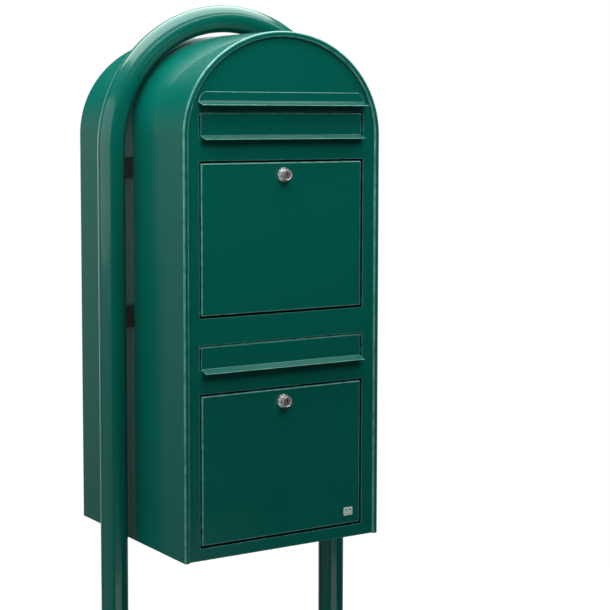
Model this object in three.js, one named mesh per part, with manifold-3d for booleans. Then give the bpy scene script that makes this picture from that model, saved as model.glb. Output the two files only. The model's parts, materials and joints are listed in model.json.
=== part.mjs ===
// Two-compartment steel post box with an arched top, held inside a round-tube hoop stand.
// Millimetres, +Z up, front towards -Y. The origin lies midway between the two post ends.
import * as THREE from 'three';
import { mergeVertices } from 'three/addons/utils/BufferGeometryUtils.js';
import Module from 'manifold-3d';

const wasm = await Module();
wasm.setup();

// ---------------------------------------------------------------- driving dimensions

// Box shell
const BOX_WIDTH = 380;
const BOX_DEPTH = 380;
const ARCH_FLATTENING = 20; // how much lower the arch is than a full half circle
const SHEET = 1.5; // steel sheet of the box
const RIM_WIDTH = 10; // flange round the front and the rear of the shell
const PANEL_RECESS = 5; // how far the panels sit behind the rims

// Heights up the front, all measured upwards one after the other
const SILL_HEIGHT = 20; // box bottom to the lower door opening
const DOOR_OPENING_HEIGHT = 252.5;
const SLOT_RAIL = 39.5; // door opening to the letter slot above it
const SLOT_HEIGHT = 39.5;
const SHELF_RAIL = 43.5; // letter slot to the next door opening
const SLOT_INTO_ARCH = 39.5; // how far the upper slot reaches above the start of the arch
const OPENING_SIDE_MARGIN = 31; // box side to the side of the door and slot openings

// Doors
const DOOR_GAP = 3.5;
const DOOR_RETURN = 14; // depth of the folded edges
const HINGE_DEPTH = 8; // hinge axis behind the door's front face
const HINGE_RISE = 7; // hinge axis above the door's lower edge
const HINGE_PIN_RADIUS = 2.5;
const HINGE_PIN_LENGTH = 12.8; // under the head
const HINGE_PIN_HEAD_RADIUS = 4;
const HINGE_PIN_HEAD = 2;
const HINGE_EAR_CLEAR = 1.5; // opening's side to the fixed hinge ear
const HINGE_EAR = 2; // thickness of the fixed hinge ear
const HINGE_EAR_HALF_HEIGHT = 8;
const HINGE_EAR_DEPTH = 13.2;
const BRACKET_FOOT = 9.5; // width of the foot that holds an ear to the panel

// Letter flaps
const FLAP_SHEET = 1.2;
const FLAP_GAP = 3.5; // at each end, inside the slot
const FLAP_ROD_RADIUS = 2;
const FLAP_CURL_RADIUS = 3.2; // outside of the rolled top edge
const FLAP_ROD_BELOW_SLOT_TOP = 4.5;
const FLAP_ROD_BEHIND_PANEL = 2.5; // rod axis behind the panel's back face
const FLAP_BEND_ABOVE_SLOT = 2; // bend of the pull lip above the slot's lower edge
const LIP_PROJECTION = 15;
const LIP_DROP = 7;
const FLAP_EAR_CLEAR = 2; // slot's side to the fixed flap ear
const FLAP_EAR = 2;
const FLAP_EAR_DEPTH = 10.2;
const FLAP_EAR_ABOVE_ROD = 8;
const FLAP_EAR_BELOW_ROD = 30;
const FLAP_STOP_REACH = 10; // how far the stop tab reaches in behind the flap
const FLAP_STOP_HEIGHT = 8;
const FLAP_STOP_GAP = 0.4; // between the resting flap and its stop tab
const FLAP_ROD_PAST_EAR = 3;

// Rain hood over the upper slot
const HOOD_ABOVE_SLOT = 13.5; // slot top to the hood's bend
const HOOD_HEIGHT = 18;
const HOOD_CORNER = 16;
const HOOD_OVERHANG = 1; // wider than the slot at each end
const HOOD_PROJECTION = 15;
const HOOD_DROP = 4.6;
const HOOD_LAP = 2; // how far the bent lip laps the hood's face

// Chute plate behind each slot
const CHUTE_BELOW_SLOT = 2;
const CHUTE_FLANGE = 8;
const CHUTE_REACH = 57;
const CHUTE_FALL = 12;
const CHUTE_HEM = 10;
const CHUTE_SIDE_GAP = 3; // narrower than the slot at each end

// Cam lock
const LOCK_BELOW_DOOR_TOP = 21;
const LOCK_NOSE_RADIUS = 9;
const LOCK_NOSE = 13; // how far the lock stands out of the door
const LOCK_COLLAR_RADIUS = 12;
const LOCK_COLLAR = 2;
const LOCK_CHAMFER = 0.8;
const LOCK_BARREL = 19; // behind the door's front face
const LOCK_PLUG_RADIUS = 6;
const LOCK_NUT_RADIUS = 13.5;
const LOCK_NUT = 4;
const KEY_SLOT = [2.2, 6, 8]; // width, depth, height
const CAM_LENGTH = 30; // plug axis to the centre of the rounded tip
const CAM_HALF_WIDTH = 8;
const CAM_THICKNESS = 2;
const CAM_SQUARE = 6.4; // square tail of the plug
const CAM_SCREW_RADIUS = 1.7;
const CAM_SCREW_HEAD_RADIUS = 4.5;
const CAM_SCREW_HEAD = 2.5;
const CAM_SCREW_LENGTH = 9;
const STRIKE_WIDTH = 40;
const STRIKE_FOOT = 12;
const STRIKE_ABOVE_OPENING = 3;
const STRIKE_CLEARANCE = 2.3; // between the strike and the locked cam

// Pictogram plate on the lower door
const BADGE_WIDTH = 18;
const BADGE_HEIGHT = 14;
const BADGE_THICKNESS = 0.6;
const BADGE_CORNER = 2;
const BADGE_FROM_DOOR_SIDE = 24.5;
const BADGE_ABOVE_DOOR_BOTTOM = 21;

// Floor and shelf trays
const FLOOR_HEIGHT = 15;
const SHELF_BELOW_SILL = 23;
const TRAY_FLANGE = 14.5;
const DRAIN_RADIUS = 4;
const DRAIN_INSET = 45; // drain holes in from the tray's corners

// Stand
const STAND_HEIGHT = 1800;
const TUBE_DIAMETER = 46;
const TUBE_WALL = 2.5;
const CROWN_GAP = 6; // under the top of the hoop
const ROD_HEIGHTS = { upper: 140, lower: 73 }; // anchor rods above the post ends
const ROD_RADIUS = 4;
const ROD_INTO_POST = 14; // past the post's axis

// Fixings between the posts and the box sides
const SPACER_THICKNESS = 9; // at its thinnest
const SPACER_WIDTH = 30;
const SPACER_HEIGHT = 36;
const FIXING_BELOW_ARCH = 53; // upper fixing below the start of the arch
const FIXING_SPACING = 250;
const BOLT_RADIUS = 4;
const BOLT_HEAD_RADIUS = 7.5;
const BOLT_HEAD = 5.3;
const BOLT_GRIP = 27; // under the head
const WASHER_RADIUS = 8;
const WASHER = 1.6;
const INSERT_RADIUS = 5.5;
const INSERT_LENGTH = 15;
const INSERT_RECESS = 1; // sunk into the post's curved wall
const INSERT_BULGE = [7.6, 5, 8]; // radius, start and end along the insert

// Clearances
const GAP = 0.3; // between touching pieces
const HOLE_CLEARANCE = 0.3; // on the radius

// ---------------------------------------------------------------- derived places

const HALF_WIDTH = BOX_WIDTH / 2;
const FRONT = -BOX_DEPTH / 2;
const ARCH_RISE = HALF_WIDTH - ARCH_FLATTENING;
const COMPARTMENT_PITCH = DOOR_OPENING_HEIGHT + SLOT_RAIL + SLOT_HEIGHT + SHELF_RAIL;
const SLOT_ABOVE_SILL = DOOR_OPENING_HEIGHT + SLOT_RAIL;
const SPRING_HEIGHT = SILL_HEIGHT + 2 * COMPARTMENT_PITCH - SHELF_RAIL - SLOT_INTO_ARCH;
const BOX_HEIGHT = SPRING_HEIGHT + ARCH_RISE;
const OPENING_HALF = HALF_WIDTH - OPENING_SIDE_MARGIN;

const PANEL_FRONT = FRONT + PANEL_RECESS;
const PANEL_BACK = PANEL_FRONT + SHEET;
const PANEL_INSET = SHEET + GAP;
const BEHIND_PANEL = PANEL_BACK + GAP;

const TUBE_RADIUS = TUBE_DIAMETER / 2;
const POST_X = HALF_WIDTH + SPACER_THICKNESS + TUBE_RADIUS;
const HOOP_CENTRE = STAND_HEIGHT - TUBE_RADIUS - POST_X;
const BOX_BASE = STAND_HEIGHT - TUBE_DIAMETER - CROWN_GAP - BOX_HEIGHT;
const FIXING_HEIGHTS = {
  upper: SPRING_HEIGHT - FIXING_BELOW_ARCH,
  lower: SPRING_HEIGHT - FIXING_BELOW_ARCH - FIXING_SPACING,
};

// ---------------------------------------------------------------- materials

const paint = new THREE.MeshStandardMaterial({ color: 0x00574a, roughness: 0.3, metalness: 0.1 });
const zinc = new THREE.MeshStandardMaterial({ color: 0xa9adb0, roughness: 0.45, metalness: 0.9 });
const chrome = new THREE.MeshStandardMaterial({ color: 0xd9dadc, roughness: 0.15, metalness: 1 });
const brass = new THREE.MeshStandardMaterial({ color: 0xb8b0a4, roughness: 0.3, metalness: 1 });
const plastic = new THREE.MeshStandardMaterial({ color: 0x16110f, roughness: 0.6, metalness: 0 });
const print = new THREE.MeshStandardMaterial({ color: 0xe6eeea, roughness: 0.5, metalness: 0 });

// ---------------------------------------------------------------- shape helpers

// A closed body from a geometry: corners merged and slivers at a turning axis dropped.
function solid(geometry) {
  const bare = geometry.clone();
  bare.deleteAttribute('normal');
  bare.deleteAttribute('uv');
  const merged = mergeVertices(bare, 1e-4);
  const corners = merged.index.array;
  const faces = [];
  for (let i = 0; i < corners.length; i += 3) {
    const [a, b, c] = [corners[i], corners[i + 1], corners[i + 2]];
    if (a !== b && b !== c && c !== a) faces.push(a, b, c);
  }
  return new wasm.Manifold(new wasm.Mesh({
    numProp: 3,
    vertProperties: Float32Array.from(merged.attributes.position.array),
    triVerts: Uint32Array.from(faces),
  }));
}

function meshOf(body, name, material) {
  const { vertProperties, triVerts } = body.getMesh();
  const geometry = new THREE.BufferGeometry();
  geometry.setAttribute('position', new THREE.BufferAttribute(vertProperties, 3));
  geometry.setIndex(new THREE.BufferAttribute(triVerts, 1));
  geometry.computeVertexNormals();
  const mesh = new THREE.Mesh(geometry, material);
  mesh.name = name;
  return mesh;
}

// A box between two corners, as a body.
function block([x0, y0, z0], [x1, y1, z1]) {
  const geometry = new THREE.BoxGeometry(x1 - x0, y1 - y0, z1 - z0);
  geometry.translate((x0 + x1) / 2, (y0 + y1) / 2, (z0 + z1) / 2);
  return solid(geometry);
}

// An outline drawn in (x, z), given thickness from y0 back to y1.
function plateAlongY(shape, y0, y1, curveSegments = 12) {
  const geometry = new THREE.ExtrudeGeometry(shape, { depth: y1 - y0, bevelEnabled: false, curveSegments });
  geometry.rotateX(Math.PI / 2);
  geometry.translate(0, y1, 0);
  return solid(geometry);
}

// An outline drawn in (y, z), carried along x from x0 to x1.
function barAlongX(shape, x0, x1, curveSegments = 6) {
  const geometry = new THREE.ExtrudeGeometry(shape, { depth: x1 - x0, bevelEnabled: false, curveSegments });
  const basis = new THREE.Matrix4().makeBasis(
    new THREE.Vector3(0, 1, 0),
    new THREE.Vector3(0, 0, 1),
    new THREE.Vector3(1, 0, 0),
  );
  geometry.applyMatrix4(basis);
  geometry.translate(x0, 0, 0);
  return solid(geometry);
}

// A body turned about an axis; the profile is a closed list of [radius, place along the axis].
function turned(profile, segments) {
  const points = profile.map(([r, along]) => new THREE.Vector2(r, along));
  return new THREE.LatheGeometry(points, segments);
}

const turnedAlongX = (profile, segments) => solid(turned(profile, segments).rotateZ(-Math.PI / 2));
const turnedAlongY = (profile, segments) => solid(turned(profile, segments));

function pin(radius, start, end) {
  return [[0, start], [radius, start], [radius, end], [0, end]];
}

// The cross-section of a bent strip: a line of points thickened to its left, mitred at each bend.
function strip(points, thickness) {
  const line = points.map(([a, b]) => new THREE.Vector2(a, b));
  const headings = line.slice(1).map((p, i) => p.clone().sub(line[i]).normalize());
  const offset = line.map((p, i) => {
    const before = headings[Math.max(i - 1, 0)];
    const after = headings[Math.min(i, headings.length - 1)];
    const middle = before.clone().add(after).normalize();
    const reach = thickness / middle.dot(after);
    return new THREE.Vector2(p.x - middle.y * reach, p.y + middle.x * reach);
  });
  return new THREE.Shape([...line, ...offset.reverse()]);
}

// The arched outline of the box, drawn in by an inset.
function arch(inset) {
  const half = HALF_WIDTH - inset;
  const outline = new THREE.Shape();
  outline.moveTo(half, 0);
  outline.lineTo(half, SPRING_HEIGHT);
  outline.absellipse(0, SPRING_HEIGHT, half, ARCH_RISE - inset, 0, Math.PI, false, 0);
  outline.lineTo(-half, 0);
  return outline;
}

// A band that follows the arch between two insets and is open at the bottom.
function archBand(outerInset, innerInset) {
  const inner = HALF_WIDTH - innerInset;
  const band = arch(outerInset);
  band.lineTo(-inner, 0);
  band.lineTo(-inner, SPRING_HEIGHT);
  band.absellipse(0, SPRING_HEIGHT, inner, ARCH_RISE - innerInset, Math.PI, 0, true, 0);
  band.lineTo(inner, 0);
  return band;
}

// ---------------------------------------------------------------- stand

// The line of the hoop: up the left post, over the half circle and down the right post.
// The first and last of the steps are the straight posts, the rest share the half circle.
class HoopLine extends THREE.Curve {
  constructor(steps) {
    super();
    this.steps = steps;
  }

  getPoint(t, target = new THREE.Vector3()) {
    const turn = THREE.MathUtils.clamp((t * this.steps - 1) / (this.steps - 2), 0, 1) * Math.PI;
    const onPost = t < 0.5 / this.steps || t > 1 - 0.5 / this.steps;
    const height = onPost ? 0 : HOOP_CENTRE + POST_X * Math.sin(turn);
    return target.set(-POST_X * Math.cos(turn), 0, height);
  }

  getTangent(t, target = new THREE.Vector3()) {
    const turn = THREE.MathUtils.clamp((t * this.steps - 1) / (this.steps - 2), 0, 1) * Math.PI;
    return target.set(Math.sin(turn), 0, Math.cos(turn));
  }

  getPointAt(u, target) {
    return this.getPoint(u, target);
  }

  getTangentAt(u, target) {
    return this.getTangent(u, target);
  }
}

function makeHoopStand() {
  const steps = 22;
  const section = new THREE.Shape();
  section.absarc(0, 0, TUBE_RADIUS, 0, 2 * Math.PI, false);
  const bore = new THREE.Path();
  bore.absarc(0, 0, TUBE_RADIUS - TUBE_WALL, 0, 2 * Math.PI, false);
  section.holes.push(bore);
  let tube = solid(new THREE.ExtrudeGeometry(section, {
    steps,
    extrudePath: new HoopLine(steps),
    curveSegments: 10,
  }));
  for (const side of [-1, 1]) {
    const start = side > 0 ? POST_X - TUBE_DIAMETER : -POST_X;
    for (const height of Object.values(FIXING_HEIGHTS)) {
      const hole = turnedAlongX(pin(INSERT_RADIUS + HOLE_CLEARANCE, start, start + TUBE_DIAMETER), 14);
      tube = tube.subtract(hole.translate([0, 0, BOX_BASE + height]));
    }
    for (const height of Object.values(ROD_HEIGHTS)) {
      const hole = turnedAlongX(pin(ROD_RADIUS + HOLE_CLEARANCE, start, start + TUBE_DIAMETER), 12);
      tube = tube.subtract(hole.translate([0, 0, height]));
    }
  }
  return meshOf(tube, 'hoop_stand', paint);
}

function makeAnchorRod(level) {
  const reach = POST_X + ROD_INTO_POST;
  const rod = meshOf(turnedAlongX(pin(ROD_RADIUS, -reach, reach), 12), `anchor_rod_${level}`, zinc);
  rod.position.z = ROD_HEIGHTS[level];
  return rod;
}

// ---------------------------------------------------------------- fixings, made for the +X side

function makeSpacer(name) {
  const seat = TUBE_RADIUS + GAP;
  const halfAngle = Math.asin(SPACER_WIDTH / 2 / seat);
  const plan = new THREE.Shape();
  plan.moveTo(HALF_WIDTH + GAP, SPACER_WIDTH / 2);
  plan.lineTo(HALF_WIDTH + GAP, -SPACER_WIDTH / 2);
  plan.absarc(POST_X, 0, seat, Math.PI + halfAngle, Math.PI - halfAngle, true);
  const saddle = new THREE.ExtrudeGeometry(plan, {
    depth: SPACER_HEIGHT,
    bevelEnabled: false,
    curveSegments: 10,
  });
  saddle.translate(0, 0, -SPACER_HEIGHT / 2);
  const hole = turnedAlongX(pin(BOLT_RADIUS + HOLE_CLEARANCE, HALF_WIDTH - 1, POST_X), 14);
  return meshOf(solid(saddle).subtract(hole), name, plastic);
}

const WASHER_FACE = HALF_WIDTH - SHEET - GAP;
const BOLT_FACE = WASHER_FACE - WASHER - GAP;

function makeStandBolt(name) {
  const head = solid(new THREE.CylinderGeometry(BOLT_HEAD_RADIUS, BOLT_HEAD_RADIUS, BOLT_HEAD, 6)
    .rotateZ(-Math.PI / 2)
    .translate(BOLT_FACE - BOLT_HEAD / 2, 0, 0));
  const shank = turnedAlongX(pin(BOLT_RADIUS, BOLT_FACE - BOLT_HEAD / 2, BOLT_FACE + BOLT_GRIP), 12);
  return meshOf(head.add(shank), name, zinc);
}

function makeWasher(name) {
  const inner = BOLT_RADIUS + HOLE_CLEARANCE;
  const start = WASHER_FACE - WASHER;
  const profile = [
    [inner, start],
    [WASHER_RADIUS, start],
    [WASHER_RADIUS, WASHER_FACE],
    [inner, WASHER_FACE],
    [inner, start],
  ];
  return meshOf(turnedAlongX(profile, 14), name, zinc);
}

// The threaded insert set in the post's inner wall, swollen behind it.
function makePostInsert(name) {
  const bore = BOLT_RADIUS + HOLE_CLEARANCE;
  const [bulge, from, to] = INSERT_BULGE;
  const start = POST_X - TUBE_RADIUS + INSERT_RECESS;
  const profile = [
    [bore, 0], [INSERT_RADIUS, 0], [INSERT_RADIUS, from], [bulge, from + 0.5], [bulge, to - 0.5],
    [INSERT_RADIUS, to], [INSERT_RADIUS, INSERT_LENGTH], [bore, INSERT_LENGTH], [bore, 0],
  ].map(([r, along]) => [r, start + along]);
  return meshOf(turnedAlongX(profile, 14), name, zinc);
}

function makeFixings() {
  const fixings = new THREE.Group();
  for (const side of ['left', 'right']) {
    for (const level of ['upper', 'lower']) {
      const fixing = new THREE.Group();
      fixing.rotation.z = side === 'left' ? Math.PI : 0;
      fixing.position.z = BOX_BASE + FIXING_HEIGHTS[level];
      fixing.add(
        makeSpacer(`spacer_${side}_${level}`),
        makeStandBolt(`stand_bolt_${side}_${level}`),
        makeWasher(`bolt_washer_${side}_${level}`),
        makePostInsert(`post_insert_${side}_${level}`),
      );
      fixings.add(fixing);
    }
  }
  return fixings;
}

// ---------------------------------------------------------------- box casing

const ARCH_SEGMENTS = 14;

// A sheet bent over the arch, with its front and rear edges folded inwards and then back.
function makeShell() {
  const returnInset = RIM_WIDTH - SHEET;
  const returnDepth = PANEL_RECESS - GAP;
  let shell = plateAlongY(archBand(0, SHEET), FRONT, -FRONT, ARCH_SEGMENTS);
  for (const [outerInset, depth] of [[0, SHEET], [returnInset, returnDepth]]) {
    const fold = plateAlongY(archBand(outerInset, RIM_WIDTH), FRONT, FRONT + depth, ARCH_SEGMENTS);
    shell = shell.add(fold).add(fold.mirror([0, 1, 0]));
  }
  for (const height of Object.values(FIXING_HEIGHTS)) {
    const hole = turnedAlongX(pin(BOLT_RADIUS + HOLE_CLEARANCE, -HALF_WIDTH - 1, HALF_WIDTH + 1), 12);
    shell = shell.subtract(hole.translate([0, 0, height]));
  }
  return meshOf(shell, 'shell', paint);
}

function makeRearPanel() {
  const panel = plateAlongY(arch(PANEL_INSET), -PANEL_BACK, -PANEL_FRONT, ARCH_SEGMENTS);
  return meshOf(panel, 'rear_panel', paint);
}

function makeFrontPanel() {
  const [outside, inside] = [PANEL_FRONT - 1, PANEL_BACK + 1];
  const opening = (low, high) => block([-OPENING_HALF, outside, low], [OPENING_HALF, inside, high]);
  let panel = plateAlongY(arch(PANEL_INSET), PANEL_FRONT, PANEL_BACK, ARCH_SEGMENTS);
  for (const sill of [SILL_HEIGHT, SILL_HEIGHT + COMPARTMENT_PITCH]) {
    const slot = sill + SLOT_ABOVE_SILL;
    panel = panel.subtract(opening(sill, sill + DOOR_OPENING_HEIGHT));
    panel = panel.subtract(opening(slot, slot + SLOT_HEIGHT));
  }
  return meshOf(panel, 'front_panel', paint);
}

// A tray turned upside down: a flat plate with its four edges folded down.
function makeTray(top) {
  const x = HALF_WIDTH - PANEL_INSET;
  const y = -BEHIND_PANEL;
  const inside = [x - SHEET, y - SHEET];
  return block([-x, -y, top - TRAY_FLANGE], [x, y, top])
    .subtract(block([-inside[0], -inside[1], top - TRAY_FLANGE - 1], [...inside, top - SHEET]));
}

function makeFloorPlate() {
  let floor = makeTray(FLOOR_HEIGHT);
  for (const x of [-HALF_WIDTH + DRAIN_INSET, HALF_WIDTH - DRAIN_INSET]) {
    for (const y of [FRONT + DRAIN_INSET, -FRONT - DRAIN_INSET]) {
      const drain = new THREE.CylinderGeometry(DRAIN_RADIUS, DRAIN_RADIUS, 2 * FLOOR_HEIGHT, 12);
      floor = floor.subtract(solid(drain.rotateX(Math.PI / 2).translate(x, y, FLOOR_HEIGHT)));
    }
  }
  return meshOf(floor, 'floor_plate', paint);
}

function makeDividerShelf() {
  const top = SILL_HEIGHT + COMPARTMENT_PITCH - SHELF_BELOW_SILL;
  return meshOf(makeTray(top), 'divider_shelf', paint);
}

// The hood: a raised plate with rounded upper corners whose lower edge is bent out and down.
function makeRainHood() {
  const half = OPENING_HALF + HOOD_OVERHANG;
  const base = SILL_HEIGHT + COMPARTMENT_PITCH + SLOT_ABOVE_SILL + SLOT_HEIGHT + HOOD_ABOVE_SLOT;
  const top = base + HOOD_HEIGHT;
  const back = PANEL_FRONT - GAP;
  const face = new THREE.Shape();
  face.moveTo(-half, base);
  face.lineTo(half, base);
  face.absarc(half - HOOD_CORNER, top - HOOD_CORNER, HOOD_CORNER, 0, Math.PI / 2, false);
  face.absarc(HOOD_CORNER - half, top - HOOD_CORNER, HOOD_CORNER, Math.PI / 2, Math.PI, false);
  const lip = strip([
    [back, base + HOOD_LAP],
    [back, base],
    [back - HOOD_PROJECTION, base - HOOD_DROP],
  ], -SHEET);
  const hood = plateAlongY(face, back - SHEET, back, 6).add(barAlongX(lip, -half, half));
  return meshOf(hood, 'rain_hood', paint);
}

// ---------------------------------------------------------------- letter flaps, from the slot's top

const ROD_Y = PANEL_BACK + FLAP_ROD_BEHIND_PANEL;

function makeFlap(level) {
  const half = OPENING_HALF - FLAP_GAP;
  const front = ROD_Y - FLAP_CURL_RADIUS;
  const bend = FLAP_ROD_BELOW_SLOT_TOP - SLOT_HEIGHT + FLAP_BEND_ABOVE_SLOT;
  const curl = turnedAlongX(pin(FLAP_CURL_RADIUS, -half, half), 16);
  const bore = turnedAlongX(pin(FLAP_ROD_RADIUS + HOLE_CLEARANCE, -half - 1, half + 1), 16);
  const plate = strip([
    [front - ROD_Y, 0],
    [front - ROD_Y, bend],
    [front - ROD_Y - LIP_PROJECTION, bend - LIP_DROP],
  ], FLAP_SHEET);
  const flap = meshOf(curl.add(barAlongX(plate, -half, half)).subtract(bore), `${level}_flap`, paint);
  flap.position.set(0, ROD_Y, -FLAP_ROD_BELOW_SLOT_TOP);
  return flap;
}

function makeFlapRod(level) {
  const reach = OPENING_HALF + FLAP_EAR_CLEAR + FLAP_EAR + FLAP_ROD_PAST_EAR;
  const rod = meshOf(turnedAlongX(pin(FLAP_ROD_RADIUS, -reach, reach), 12), `${level}_flap_rod`, zinc);
  rod.position.set(0, ROD_Y, -FLAP_ROD_BELOW_SLOT_TOP);
  return rod;
}

// An ear beside the slot that carries the rod's end, with a foot on the panel and a stop tab.
function makeFlapBracket(level, side) {
  const ear = OPENING_HALF + FLAP_EAR_CLEAR;
  const earBack = BEHIND_PANEL + FLAP_EAR_DEPTH;
  const rodZ = -FLAP_ROD_BELOW_SLOT_TOP;
  const low = rodZ - FLAP_EAR_BELOW_ROD;
  const high = rodZ + FLAP_EAR_ABOVE_ROD;
  const footHigh = rodZ - FLAP_EAR_ABOVE_ROD;
  const stop = ROD_Y - FLAP_CURL_RADIUS + FLAP_SHEET + FLAP_STOP_GAP;
  const bore = turnedAlongX(pin(FLAP_ROD_RADIUS + HOLE_CLEARANCE, ear - 1, ear + FLAP_EAR + 1), 12);
  const bracket = block([ear, BEHIND_PANEL, low], [ear + FLAP_EAR, earBack, high])
    .add(block([ear, BEHIND_PANEL, low], [ear + BRACKET_FOOT, BEHIND_PANEL + SHEET, footHigh]))
    .add(block([ear - FLAP_STOP_REACH, stop, low], [ear + FLAP_EAR, stop + SHEET, low + FLAP_STOP_HEIGHT]))
    .subtract(bore.translate([0, ROD_Y, rodZ]));
  const placed = side === 'left' ? bracket.mirror([1, 0, 0]) : bracket;
  return meshOf(placed, `${level}_flap_bracket_${side}`, zinc);
}

function makeChute(level) {
  const half = OPENING_HALF - CHUTE_SIDE_GAP;
  const top = -SLOT_HEIGHT - CHUTE_BELOW_SLOT;
  const knee = top - CHUTE_FLANGE;
  const end = BEHIND_PANEL + CHUTE_REACH;
  const section = strip([
    [BEHIND_PANEL, top],
    [BEHIND_PANEL, knee],
    [end, knee - CHUTE_FALL],
    [end, knee - CHUTE_FALL - CHUTE_HEM],
  ], SHEET);
  return meshOf(barAlongX(section, -half, half), `${level}_chute`, paint);
}

function makeSlotGroup(level) {
  const group = new THREE.Group();
  group.add(
    makeFlap(level),
    makeFlapRod(level),
    makeFlapBracket(level, 'left'),
    makeFlapBracket(level, 'right'),
    makeChute(level),
  );
  return group;
}

// ---------------------------------------------------------------- doors, from the door's lower edge

const DOOR_HALF = OPENING_HALF - DOOR_GAP;
const DOOR_HEIGHT = DOOR_OPENING_HEIGHT - 2 * DOOR_GAP;
const LOCK_HEIGHT = DOOR_HEIGHT - LOCK_BELOW_DOOR_TOP;
const HINGE_Y = PANEL_FRONT + HINGE_DEPTH;

function makeDoor(level) {
  const back = PANEL_FRONT + DOOR_RETURN;
  const inside = DOOR_HALF - SHEET;
  const lockBore = LOCK_NOSE_RADIUS + HOLE_CLEARANCE;
  const lockHole = turnedAlongY(pin(lockBore, PANEL_FRONT - 1, PANEL_BACK + 1), 24);
  const pinHole = turnedAlongX(pin(HINGE_PIN_RADIUS + HOLE_CLEARANCE, -DOOR_HALF - 1, DOOR_HALF + 1), 12);
  const door = block([-DOOR_HALF, PANEL_FRONT, 0], [DOOR_HALF, back, DOOR_HEIGHT])
    .subtract(block([-inside, PANEL_BACK, SHEET], [inside, back + 1, DOOR_HEIGHT - SHEET]))
    .subtract(lockHole.translate([0, 0, LOCK_HEIGHT]))
    .subtract(pinHole.translate([0, HINGE_Y, HINGE_RISE]));
  return meshOf(door, `${level}_door`, paint);
}

// The fixed ear beside the door opening, with its foot on the back of the panel.
function makeHingeBracket(level, side) {
  const ear = OPENING_HALF + HINGE_EAR_CLEAR;
  const earBack = BEHIND_PANEL + HINGE_EAR_DEPTH;
  const low = HINGE_RISE - HINGE_EAR_HALF_HEIGHT;
  const high = HINGE_RISE + HINGE_EAR_HALF_HEIGHT;
  const bore = turnedAlongX(pin(HINGE_PIN_RADIUS + HOLE_CLEARANCE, ear - 1, ear + HINGE_EAR + 1), 12);
  const bracket = block([ear, BEHIND_PANEL, low], [ear + HINGE_EAR, earBack, high])
    .add(block([ear, BEHIND_PANEL, low], [ear + BRACKET_FOOT, BEHIND_PANEL + SHEET, high]))
    .subtract(bore.translate([0, HINGE_Y, HINGE_RISE]));
  const placed = side === 'left' ? bracket.mirror([1, 0, 0]) : bracket;
  return meshOf(placed, `${level}_hinge_bracket_${side}`, zinc);
}

function makeHingePin(level, side) {
  const seat = OPENING_HALF + HINGE_EAR_CLEAR + HINGE_EAR + GAP;
  const profile = [
    [0, seat - HINGE_PIN_LENGTH],
    [HINGE_PIN_RADIUS, seat - HINGE_PIN_LENGTH],
    [HINGE_PIN_RADIUS, seat],
    [HINGE_PIN_HEAD_RADIUS, seat],
    [HINGE_PIN_HEAD_RADIUS, seat + HINGE_PIN_HEAD],
    [0, seat + HINGE_PIN_HEAD],
  ];
  const hingePin = meshOf(turnedAlongX(profile, 12), `${level}_hinge_pin_${side}`, zinc);
  hingePin.position.set(0, HINGE_Y, HINGE_RISE);
  hingePin.rotation.z = side === 'left' ? Math.PI : 0;
  return hingePin;
}

// An angle behind the panel above the door; the turned-up cam bears on the rear edge of its web.
function makeStrike(level) {
  const low = DOOR_OPENING_HEIGHT - DOOR_GAP + STRIKE_ABOVE_OPENING;
  const reach = PANEL_FRONT + LOCK_BARREL + GAP - STRIKE_CLEARANCE;
  const section = strip([
    [reach, low],
    [BEHIND_PANEL, low],
    [BEHIND_PANEL, low + STRIKE_FOOT],
  ], -SHEET);
  return meshOf(barAlongX(section, -STRIKE_WIDTH / 2, STRIKE_WIDTH / 2), `${level}_lock_strike`, zinc);
}

// ---------------------------------------------------------------- cam lock, from the door's front face

function makeLockBody(level) {
  const bore = LOCK_PLUG_RADIUS + HOLE_CLEARANCE;
  const body = turnedAlongY([
    [bore, -LOCK_NOSE],
    [LOCK_NOSE_RADIUS - LOCK_CHAMFER, -LOCK_NOSE],
    [LOCK_NOSE_RADIUS, LOCK_CHAMFER - LOCK_NOSE],
    [LOCK_NOSE_RADIUS, -LOCK_COLLAR - GAP],
    [LOCK_COLLAR_RADIUS, -LOCK_COLLAR - GAP],
    [LOCK_COLLAR_RADIUS, -GAP],
    [LOCK_NOSE_RADIUS, -GAP],
    [LOCK_NOSE_RADIUS, LOCK_BARREL],
    [bore, LOCK_BARREL],
    [bore, -LOCK_NOSE],
  ], 24);
  return meshOf(body, `${level}_lock_body`, chrome);
}

function makeLockNut(level) {
  const nut = new THREE.CylinderGeometry(LOCK_NUT_RADIUS, LOCK_NUT_RADIUS, LOCK_NUT, 6);
  const hole = turnedAlongY(pin(LOCK_NOSE_RADIUS + HOLE_CLEARANCE, -1, LOCK_NUT + SHEET + 2), 24);
  const start = SHEET + GAP;
  return meshOf(solid(nut.translate(0, start + LOCK_NUT / 2, 0)).subtract(hole), `${level}_lock_nut`, zinc);
}

function makeLockPlug(level) {
  const tailEnd = LOCK_BARREL + GAP + CAM_THICKNESS;
  const [slotWidth, slotDepth, slotHeight] = KEY_SLOT;
  const front = GAP - LOCK_NOSE;
  const tail = CAM_SQUARE / 2;
  const [halfSlot, halfSlotHeight] = [slotWidth / 2, slotHeight / 2];
  const screwHole = pin(CAM_SCREW_RADIUS + HOLE_CLEARANCE, tailEnd - CAM_SCREW_LENGTH, tailEnd + 1);
  const plug = turnedAlongY(pin(LOCK_PLUG_RADIUS, front, LOCK_BARREL), 20)
    .add(block([-tail, LOCK_BARREL - 1, -tail], [tail, tailEnd, tail]))
    .subtract(block([-halfSlot, front - 1, -halfSlotHeight], [halfSlot, front + slotDepth, halfSlotHeight]))
    .subtract(turnedAlongY(screwHole, 10));
  return meshOf(plug, `${level}_lock_plug`, brass);
}

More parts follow.
